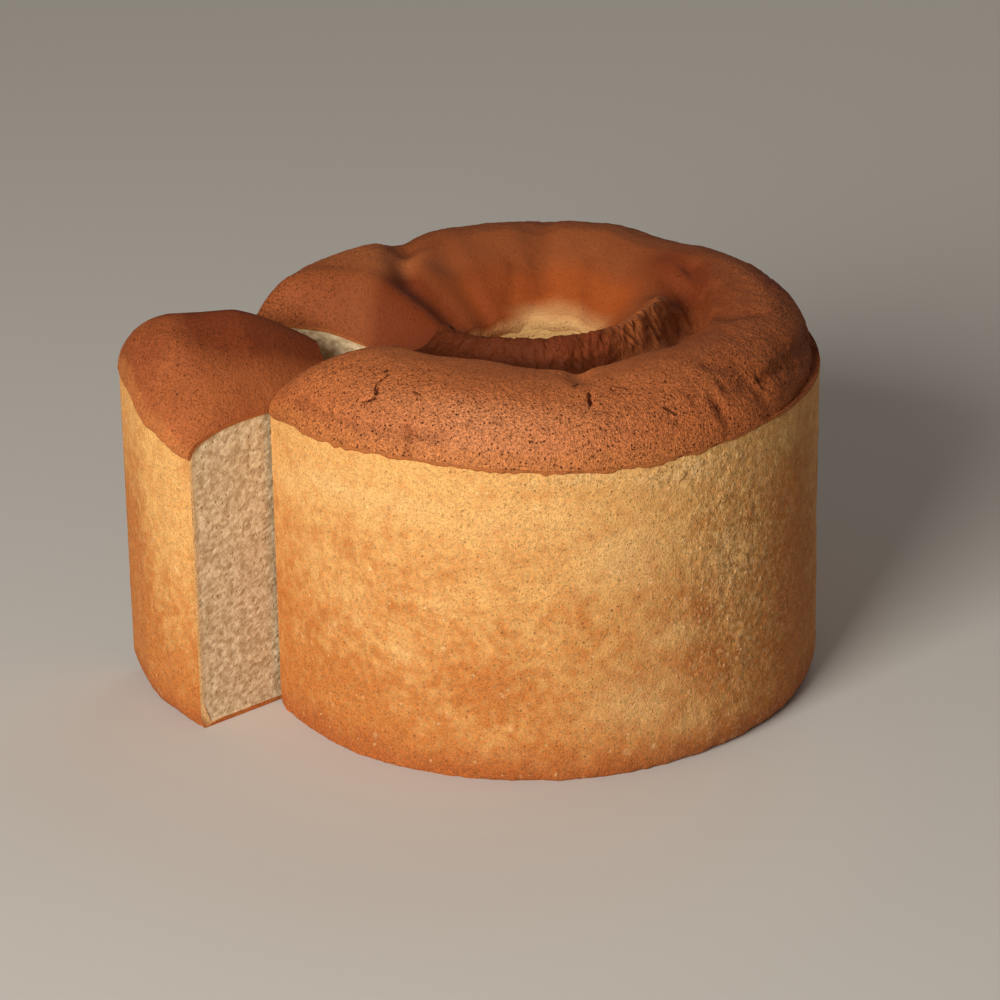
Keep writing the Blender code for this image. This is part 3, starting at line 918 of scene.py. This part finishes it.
def build_crumb(form, cells, name, material, sizes):
    """The crumb under the crust and skin, with both cut faces and the torn wall of the hole."""
    u, v, w = (np.linspace(0, 1, count + 1) for count in cells)
    nought, one = np.array([0.0]), np.array([1.0])
    grids = [
        (nought, v, w, False),
        (one, v, w, True),
        (u, nought, w, True),
        (u, one, w, False),
        (u, v, nought, False),
        (u, v, one, True),
    ]
    points, faces, marks, count = [], [], {"pore": [], "torn": [], "fresh": [], "deep": []}, 0
    for us, vs, ws, turned in grids:
        full = np.meshgrid(us, vs, ws, indexing="ij")
        shape = [n for n in full[0].shape if n > 1]
        full_u, full_v, full_w = (part.reshape(shape) for part in full)
        az, r, z = crumb_point(form, full_u, full_v, full_w)
        flat = form.place(az, r, z)
        on_cut = (full_u == 0) * 1.0 - (full_u == 1) * 1.0
        by_hole = (full_v == 0) * 1.0
        depth, pore = crumb_relief(flat, sizes.crumb_depth)
        rim_fade = smooth_step(full_v * 60) * smooth_step((1 - full_v) * 24) * smooth_step(full_w * 90)
        moved = flat + form.across(az) * (on_cut * depth * rim_fade)[..., None]
        wall_depth = depth * 1.3 + 0.6 * MM * (0.5 - 0.5 * lumps(flat, 7, 231))
        wall_depth = by_hole * (on_cut == 0) * wall_depth * smooth_step((1 - full_w) * 22)
        moved = moved + form.outward(az) * wall_depth[..., None]
        grid = grid_faces(*shape, start=count)
        faces.append(grid[:, ::-1] if turned else grid)
        points.append(moved.reshape(-1, 3))
        marks["pore"].append((pore * ((on_cut != 0) | (full_v == 0))).ravel())
        marks["torn"].append(by_hole.ravel())
        # The crumb is palest beside the skin, and low down the wall of the hole turns to the toasted skin colour,
        # partly its own golden skin and partly painted shade deep in the hole.
        marks["fresh"].append(((on_cut != 0) * ramp(full_v, 0.93, 0.99)).ravel())
        marks["deep"].append((by_hole * ramp(full_w, 0.955, 0.855)).ravel())
        count += points[-1].shape[0]
    points, faces = np.concatenate(points), np.concatenate(faces)
    _, first, index = np.unique(np.round(points, 7), axis=0, return_index=True, return_inverse=True)
    marks = {mark: np.concatenate(values)[first] for mark, values in marks.items()}
    return piece(name, points[first], index.ravel()[faces], marks, material, form)


# ---- Shader sums ----


def sum_of(operation, turned=False):
    """A method that adds the Math node of this operation, its operands turned round for a reflected form."""

    def act(value, other):
        pair = (other, value) if turned else (value, other)
        return value.graph.node("ShaderNodeMath", {"operation": operation}, {0: pair[0], 1: pair[1]})

    return act


class Value:
    """A number or colour in a material. Numbers take part in sums written as Python."""

    def __init__(self, graph, socket):
        self.graph = graph
        self.socket = socket

    __add__, __radd__ = sum_of("ADD"), sum_of("ADD", turned=True)
    __sub__, __rsub__ = sum_of("SUBTRACT"), sum_of("SUBTRACT", turned=True)
    __mul__, __rmul__ = sum_of("MULTIPLY"), sum_of("MULTIPLY", turned=True)
    __truediv__ = sum_of("DIVIDE")

    def clamped(self):
        return self.graph.node("ShaderNodeMath", {"operation": "ADD", "use_clamp": True}, {0: self, 1: 0.0})

    def ramp(self, start, end):
        """0 below start and 1 above end, smooth between."""
        sockets = {"Value": self, "From Min": start, "From Max": end}
        return self.graph.node("ShaderNodeMapRange", {"interpolation_type": "SMOOTHSTEP"}, sockets)

    def beside(self, output):
        """Another output of the same node."""
        return Value(self.graph, self.socket.node.outputs[output])

    def channel(self, name):
        return self.graph.node("ShaderNodeSeparateColor", {}, {"Color": self}, name)


class Graph:
    """The nodes of one material."""

    def __init__(self, name):
        self.material = bpy.data.materials.new(name)
        self.material.use_nodes = True
        self.tree = self.material.node_tree
        self.shader = self.tree.nodes["Principled BSDF"]
        self.space = self.node("ShaderNodeTexCoord", {}, {}, "Object")

    def fill(self, socket, value):
        if isinstance(value, Value):
            self.tree.links.new(value.socket, socket)
        else:
            socket.default_value = value

    def node(self, kind, settings, sockets, output=0):
        made = self.tree.nodes.new(kind)
        for name, value in settings.items():
            setattr(made, name, value)
        for name, value in sockets.items():
            self.fill(made.inputs[name], value)
        return Value(self, made.outputs[output])

    def vector(self, operation, sockets):
        return self.node("ShaderNodeVectorMath", {"operation": operation}, sockets)

    def mark(self, name):
        """A mark that was left on the mesh."""
        return self.node("ShaderNodeAttribute", {"attribute_name": name}, {}, "Fac")

    def noise(self, size, detail=2.0, roughness=0.5, space=None):
        """Noise from 0 to 1 with lumps of this size in mm."""
        scale = 1 / (size * MM)
        sockets = {"Vector": space or self.space, "Scale": scale, "Detail": detail, "Roughness": roughness}
        return self.node("ShaderNodeTexNoise", {"noise_dimensions": "3D"}, sockets, "Fac")

    def dots(self, spacing, radius, softness, share, seed):
        """1 in the middle of scattered uneven dots, 0 outside them. Spacing and radius are in mm, and share says
        how many of the cells hold one."""
        push = self.noise(spacing, detail=1.0).beside("Color")
        pushed = self.vector("MULTIPLY_ADD", {0: push, 1: (spacing * MM * 0.55,) * 3, 2: self.space})
        shifted = self.vector("ADD", {0: pushed, 1: (seed, seed * 0.7, 0.3)})
        sockets = {"Vector": shifted, "Scale": 1 / (spacing * MM)}
        distance = self.node("ShaderNodeTexVoronoi", {}, sockets, "Distance")
        colour = distance.beside("Color")
        chosen = colour.channel("Red").ramp(1 - share, 1.02 - share)
        size = colour.channel("Green") * 0.9 + 0.5
        return (1 - (distance / size).ramp(radius * (1 - softness) / spacing, radius / spacing)) * chosen

    def mix(self, factor, first, second):
        """From the first colour to the second. The node itself keeps the factor from 0 to 1."""
        first, second = (c if isinstance(c, Value) else (*c, 1.0) for c in (first, second))
        return self.node("ShaderNodeMix", {"data_type": "RGBA"}, {0: factor, 6: first, 7: second}, 2)

    def shade(self, colour, amount):
        """The colour times a number."""
        return self.vector("SCALE", {0: colour, "Scale": amount})

    def bump(self, height, distance):
        """Makes small relief from a height of 0 to 1 that stands for this distance in mm."""
        sockets = {"Height": height, "Distance": distance * MM, "Strength": 1.0}
        self.fill(self.shader.inputs["Normal"], self.node("ShaderNodeBump", {}, sockets, "Normal"))

    def finish(self, colour, roughness, specular):
        self.fill(self.shader.inputs["Base Color"], colour)
        self.fill(self.shader.inputs["Roughness"], roughness)
        self.shader.inputs["Specular IOR Level"].default_value = specular
        return self.material


def crust_material(colours):
    g = Graph("baked_crust")
    marks = ("pore", "crease_shade", "split", "tone_and_shade", "pale", "salmon_and_sheen", "amber", "back", "outer", "edge")
    pore, crease_shade, split, tone_and_shade, pale, salmon_and_sheen, amber, back, outer, edge = (g.mark(name) for name in marks)
    rough = (outer * 0.6 + 0.4) * (1 - back * 0.5)
    wide_pore = g.dots(2.1, 0.31, 0.35, 0.50, 3.1)
    fine_pore = g.dots(1.1, 0.25, 0.35, 0.80, 11.3)
    tiny_pore = g.dots(0.7, 0.20, 0.40, 0.60, 7.7)
    cloud = g.noise(5, 4.0, 0.6)
    pebble = g.noise(0.8, 2.0, 0.6)
    grain = g.noise(0.38, 1.0)
    # Painted shade: behind the hole the crust is mixed towards a darker copy of its colour.
    base = g.mix(back * 0.85, colours.crust, colours.crust_back_shade)
    base = g.mix(amber * 0.9, base, colours.crust_amber)
    # Darker baking at random and painted shade, mixed towards the dark crust colour.
    base = g.mix(tone_and_shade * 1.1 + (cloud - 0.5) * (1 - back * 0.6) * 0.5, base, colours.crust_dark_and_shade)
    # Partly paler crust, partly a painted highlight on the front shoulder.
    base = g.mix(salmon_and_sheen * 0.72, base, colours.crust_salmon_sheen)
    base = g.mix(pale, base, colours.crust_pale)
    base = g.mix(edge * 0.6, base, colours.crust_edge)
    # Painted highlight and shade: the crust's pebbles and grain are lighter and darker in step with their bumps.
    pebble_light_and_shade = 1.0 + ((pebble.ramp(0.34, 0.66) - 0.5) * 0.45 + (grain.ramp(0.34, 0.66) - 0.5) * 0.5) * rough
    base = g.shade(base, pebble_light_and_shade)
    jagged = split + (g.noise(1.4, 2.0, 0.6) - 0.5) * 0.6 + (pebble - 0.5) * 0.5
    torn = jagged.ramp(0.76, 0.88)
    # Painted shade in the crust's pores, creases and splits, which are mixed towards the pore colour.
    shaded_pores = ((pore * 0.45 + wide_pore + fine_pore + tiny_pore * 0.5) * rough * rough).clamped()
    base = g.mix(shaded_pores * 0.85 + crease_shade * 0.92 + torn * 0.9, base, colours.crust_pore_shade)
    g.bump((pebble * 0.7 + grain * 0.5 - wide_pore * 0.8 - fine_pore * 0.6 - tiny_pore * 0.4 - torn) * rough, 0.7)
    return g.finish(base, 0.6 + pebble * 0.2 + shaded_pores * 0.2, 0.15)


def skin_material(colours):
    g = Graph("golden_skin")
    marks = ("pore", "toast", "pale", "foot", "fleck", "coarse")
    pore, toast, pale, foot, fleck, coarse = (g.mark(name) for name in marks)
    cloud = g.noise(3.0, 5.0, 0.65)
    pebble = g.noise(1.5)
    crumbly = g.noise(0.9, 2.0, 0.6)
    grain = g.noise(0.45, 1.0)
    shaded_pit = g.dots(1.8, 0.32, 0.5, 0.45, 5.3)
    speck = g.dots(0.85, 0.22, 0.5, 0.60, 13.9)
    white = g.dots(2.4, 0.50, 0.7, 0.30, 9.1)
    knob = g.dots(1.5, 0.60, 0.8, 0.75, 4.4) * coarse
    uneven = (cloud.ramp(0.30, 0.70) - 0.5) * 0.6 + (crumbly.ramp(0.34, 0.66) - 0.5) * 0.25
    browning = toast + uneven + (grain.ramp(0.34, 0.66) - 0.5) * 0.1
    base = g.mix(browning, colours.skin_pale, colours.skin_toasted)
    base = g.mix(foot * 0.85, base, colours.skin_foot)
    lighter = (fleck * 0.5 + white * 0.6 + pale * 0.35 + knob * 0.6 + coarse * pebble.ramp(0.5, 0.66) * 0.6).clamped()
    base = g.mix(lighter * 0.6, base, colours.skin_fleck)
    # Painted shade in the gaps of the coarse skin and in its pores.
    base = g.mix(coarse * (1 - pebble.ramp(0.36, 0.52)) * 0.6, base, colours.skin_pore_shade)
    shaded_pores = (pore * 0.7 + shaded_pit * 0.5 + speck * (coarse * 0.3 + 0.4)).clamped()
    base = g.mix(shaded_pores * 0.7, base, colours.skin_pore_shade)
    base = g.shade(base, 0.76 + crumbly.ramp(0.32, 0.68) * 0.30 + grain.ramp(0.34, 0.66) * 0.24)
    g.bump(crumbly * 0.35 + grain * 0.25 + pebble * coarse * 0.6 + knob * 0.5 - shaded_pit * 0.4 - speck * 0.3, 0.5)
    return g.finish(base, 0.68 + crumbly * 0.15, 0.25)


def crumb_material(colours):
    g = Graph("sponge_crumb")
    pore, torn, fresh, deep = (g.mark(name) for name in ("pore", "torn", "fresh", "deep"))
    drawn = g.vector("MULTIPLY", {0: g.space, 1: (0.7, 0.7, 1.0)})
    cloud = g.noise(5, 3.0, 0.6)
    strand = g.noise(1.1, 2.0, 0.55, drawn)
    cell = g.noise(2.0, space=drawn)
    grain = g.noise(0.6, 2.0, 0.6)
    hole = g.dots(1.5, 0.38, 0.7, 0.5, 2.2)
    open_cut = 1 - torn * 0.7
    # Painted shade in the crumb's open cells mottles it towards the shade colour, with less of it beside the skin.
    shading = cloud * 0.4 + strand.ramp(0.36, 0.64) * 0.6 + cell.ramp(0.40, 0.62) * 0.6 - 0.25 - fresh * 0.6
    base = g.mix(shading.clamped() * open_cut, colours.crumb, colours.crumb_shade)
    base = g.mix(torn, base, colours.crumb_torn)
    # The wall of the hole is darker low down: partly its own toasted skin, partly painted shade deep in the hole.
    base = g.mix(deep * (cloud * 0.9 + 0.15), base, colours.skin_toasted)
    base = g.shade(base, 0.86 + grain * 0.28)
    # Painted shade in the crumb's pores.
    base = g.mix((pore * 0.7 + hole * 0.45) * open_cut, base, colours.crumb_pore_shade)
    g.bump(grain * 0.3 - strand * 0.6 - cell * 0.6 - hole * 0.4, 0.45)
    return g.finish(base, 0.85, 0.2)


# ---- Stage ----


def add_floor():
    half = FLOOR_SIZE / 2
    mesh = bpy.data.meshes.new("floor")
    mesh.from_pydata([(-half, -half, 0), (half, -half, 0), (half, half, 0), (-half, half, 0)], [], [(0, 1, 2, 3)])
    mesh.materials.append(Graph("pale_floor").finish((*FLOOR_COLOUR, 1.0), 0.7, 0.2))
    floor = bpy.data.objects.new("floor", mesh)
    bpy.context.scene.collection.objects.link(floor)


def add_lamp(name, azimuth, elevation, distance, width, watts, tint):
    """A square lamp that faces the cake from this azimuth and elevation."""
    lamp = bpy.data.lights.new(name, "AREA")
    lamp.shape = "SQUARE"
    lamp.size = width
    lamp.energy = watts
    lamp.color = tint
    holder = bpy.data.objects.new(name, lamp)
    a, e = math.radians(azimuth), math.radians(elevation)
    away = Vector((math.cos(a) * math.cos(e), math.sin(a) * math.cos(e), math.sin(e)))
    holder.location = Vector(LAMP_AIM) + away * distance
    holder.rotation_euler = away.to_track_quat("Z", "Y").to_euler()
    bpy.context.scene.collection.objects.link(holder)


def add_world():
    world = bpy.data.worlds.new("studio")
    world.use_nodes = True
    background = world.node_tree.nodes["Background"]
    background.inputs["Color"].default_value = WORLD_TINT
    background.inputs["Strength"].default_value = WORLD_STRENGTH
    bpy.context.scene.world = world


def add_camera():
    camera = bpy.data.cameras.new("camera")
    camera.sensor_width = CAMERA_SENSOR
    camera.lens = CAMERA_LENS
    holder = bpy.data.objects.new("camera", camera)
    place = Matrix.Translation(Vector(CAMERA_PLACE) + Vector((*CAKE_AXIS, 0)))
    tilt = Matrix.Rotation(math.radians(90 - CAMERA_PITCH), 4, "X")
    holder.matrix_world = place @ tilt @ Matrix.Rotation(math.radians(CAMERA_ROLL), 4, "Z")
    bpy.context.scene.collection.objects.link(holder)
    bpy.context.scene.camera = holder


# ---- Add-on ----


def length(name, description, default):
    return FloatProperty(name=name, description=description, default=default, unit="LENGTH", min=0, precision=5)


def colour(name, description, default):
    return FloatVectorProperty(name=name, description=description, default=default, subtype="COLOR", min=0, max=1)


class CakeSizes(bpy.types.PropertyGroup):
    """Thicknesses and depths of the cake's surfaces."""

    crust_thickness: length("Crust thickness", "How thick the baked crust is", 2.8 * MM)
    skin_thickness: length("Skin thickness", "How thick the golden skin is at the side", 0.8 * MM)
    pore_depth: length("Pore depth", "How deep the crust's pores are", 0.5 * MM)
    crumb_depth: length("Crumb depth", "How deep the cut crumb's pores are", 0.5 * MM)


class CakeColours(bpy.types.PropertyGroup):
    """Colours of the cake's surfaces."""

    crust: colour("Crust", "Lighter parts of the baked crust", (0.53, 0.156, 0.045))
    # Dark crust: darker baking at random, and painted shade where the crust lies out of the light.
    crust_dark_and_shade: colour("Dark crust", "Darker parts of the baked crust", (0.20, 0.040, 0.010))
    # Salmon crust: partly paler crust, partly a painted highlight where the front shoulder faces the light.
    crust_salmon_sheen: colour("Salmon crust", "Paler, pinker crust low on the front shoulder", (0.66, 0.27, 0.115))
    crust_edge: colour("Crust edge", "The thin orange edge of the crust along the side", (0.50, 0.17, 0.045))
    crust_back_shade: colour("Back crust", "The smooth orange crust behind the hole", (0.29, 0.076, 0.021))
    # Back crust: a darker copy of the crust colour, painted shade behind the hole.
    crust_amber: colour("Amber crust", "The orange slope down to the back of the hole", (0.43, 0.090, 0.015))
    crust_pale: colour("Pale crust", "Crust at the back of the hole", (0.95, 0.58, 0.24))
    # Crust pores: painted shade in the pores, splits and creases of the crust.
    crust_pore_shade: colour("Crust pores", "Pores and splits of the crust", (0.095, 0.018, 0.003))
    skin_pale: colour("Pale skin", "Less baked parts of the side", (0.72, 0.385, 0.122))
    skin_toasted: colour("Toasted skin", "More baked parts of the side", (0.50, 0.166, 0.034))
    skin_foot: colour("Skin at the base", "The bottom edge of the side", (0.38, 0.095, 0.018))
    skin_fleck: colour("Skin flecks", "Pale flecks in the skin", (0.90, 0.64, 0.32))
    # Skin pores: painted shade in the skin's pores and in the gaps where it is coarse.
    skin_pore_shade: colour("Skin pores", "Pores of the skin", (0.24, 0.10, 0.022))
    crumb: colour("Crumb", "The cut crumb", (0.83, 0.66, 0.42))
    # Crumb shade: painted shade in the crumb's open cells.
    crumb_shade: colour("Crumb shade", "Denser parts of the crumb", (0.53, 0.375, 0.21))
    crumb_torn: colour("Torn crumb", "The torn wall of the hole", (0.92, 0.56, 0.22))
    # Crumb pores: painted shade in the crumb's pores.
    crumb_pore_shade: colour("Crumb pores", "Pores of the crumb", (0.27, 0.17, 0.09))


class CAKE_OT_crust(bpy.types.Operator):
    """Build the baked crust of the cake and of the wedge"""

    bl_idname = "cake.crust"
    bl_label = "Crust"

    def execute(self, context):
        sizes, material = context.scene.cake_sizes, crust_material(context.scene.cake_colours)
        build_crust(RING, spread(RING, CRUST_FRONT_COLUMNS, CRUST_BACK_COLUMNS), "cake_crust", material, sizes)
        build_crust(WEDGE, spread(WEDGE, WEDGE_CRUST_COLUMNS), "slice_crust", material, sizes)
        return {"FINISHED"}


class CAKE_OT_skin(bpy.types.Operator):
    """Build the golden skin of the side and the underside"""

    bl_idname = "cake.skin"
    bl_label = "Skin"

    def execute(self, context):
        sizes, material = context.scene.cake_sizes, skin_material(context.scene.cake_colours)
        build_skin(RING, spread(RING, SKIN_FRONT_COLUMNS, SKIN_BACK_COLUMNS), "cake_skin", material, sizes)
        build_skin(WEDGE, spread(WEDGE, WEDGE_SKIN_COLUMNS), "slice_skin", material, sizes)
        return {"FINISHED"}


class CAKE_OT_crumb(bpy.types.Operator):
    """Build the crumb with its cut faces and the wall of the hole"""

    bl_idname = "cake.crumb"
    bl_label = "Crumb"

    def execute(self, context):
        sizes, material = context.scene.cake_sizes, crumb_material(context.scene.cake_colours)
        build_crumb(RING, RING_CRUMB_CELLS, "cake_crumb", material, sizes)
        build_crumb(WEDGE, WEDGE_CRUMB_CELLS, "slice_crumb", material, sizes)
        return {"FINISHED"}


class CAKE_OT_stage(bpy.types.Operator):
    """Set up the pale floor, the soft lamps and the camera"""

    bl_idname = "cake.stage"
    bl_label = "Stage"

    def execute(self, context):
        add_floor()
        for name, values in LAMPS.items():
            add_lamp(name, *values)
        add_world()
        add_camera()
        context.scene.view_settings.view_transform = "Standard"
        return {"FINISHED"}


class CAKE_PT_panel(bpy.types.Panel):
    """The steps that build the cake"""

    bl_label = "Cake"
    bl_idname = "CAKE_PT_panel"
    bl_space_type = "VIEW_3D"
    bl_region_type = "UI"
    bl_category = "Cake"

    def draw(self, context):
        for group in (context.scene.cake_sizes, context.scene.cake_colours):
            box = self.layout.box()
            for name in group.__annotations__:
                box.prop(group, name)
        for step in STEPS:
            self.layout.operator(step.bl_idname)


STEPS = (CAKE_OT_crust, CAKE_OT_skin, CAKE_OT_crumb, CAKE_OT_stage)
CLASSES = (CakeSizes, CakeColours, *STEPS, CAKE_PT_panel)


def register():
    for cls in CLASSES:
        bpy.utils.register_class(cls)
    bpy.types.Scene.cake_sizes = PointerProperty(type=CakeSizes)
    bpy.types.Scene.cake_colours = PointerProperty(type=CakeColours)


def unregister():
    del bpy.types.Scene.cake_colours
    del bpy.types.Scene.cake_sizes
    for cls in reversed(CLASSES):
        bpy.utils.unregister_class(cls)


def main():
    register()
    bpy.ops.cake.crust()
    bpy.ops.cake.skin()
    bpy.ops.cake.crumb()
    bpy.ops.cake.stage()


if __name__ == "__main__":
    main()
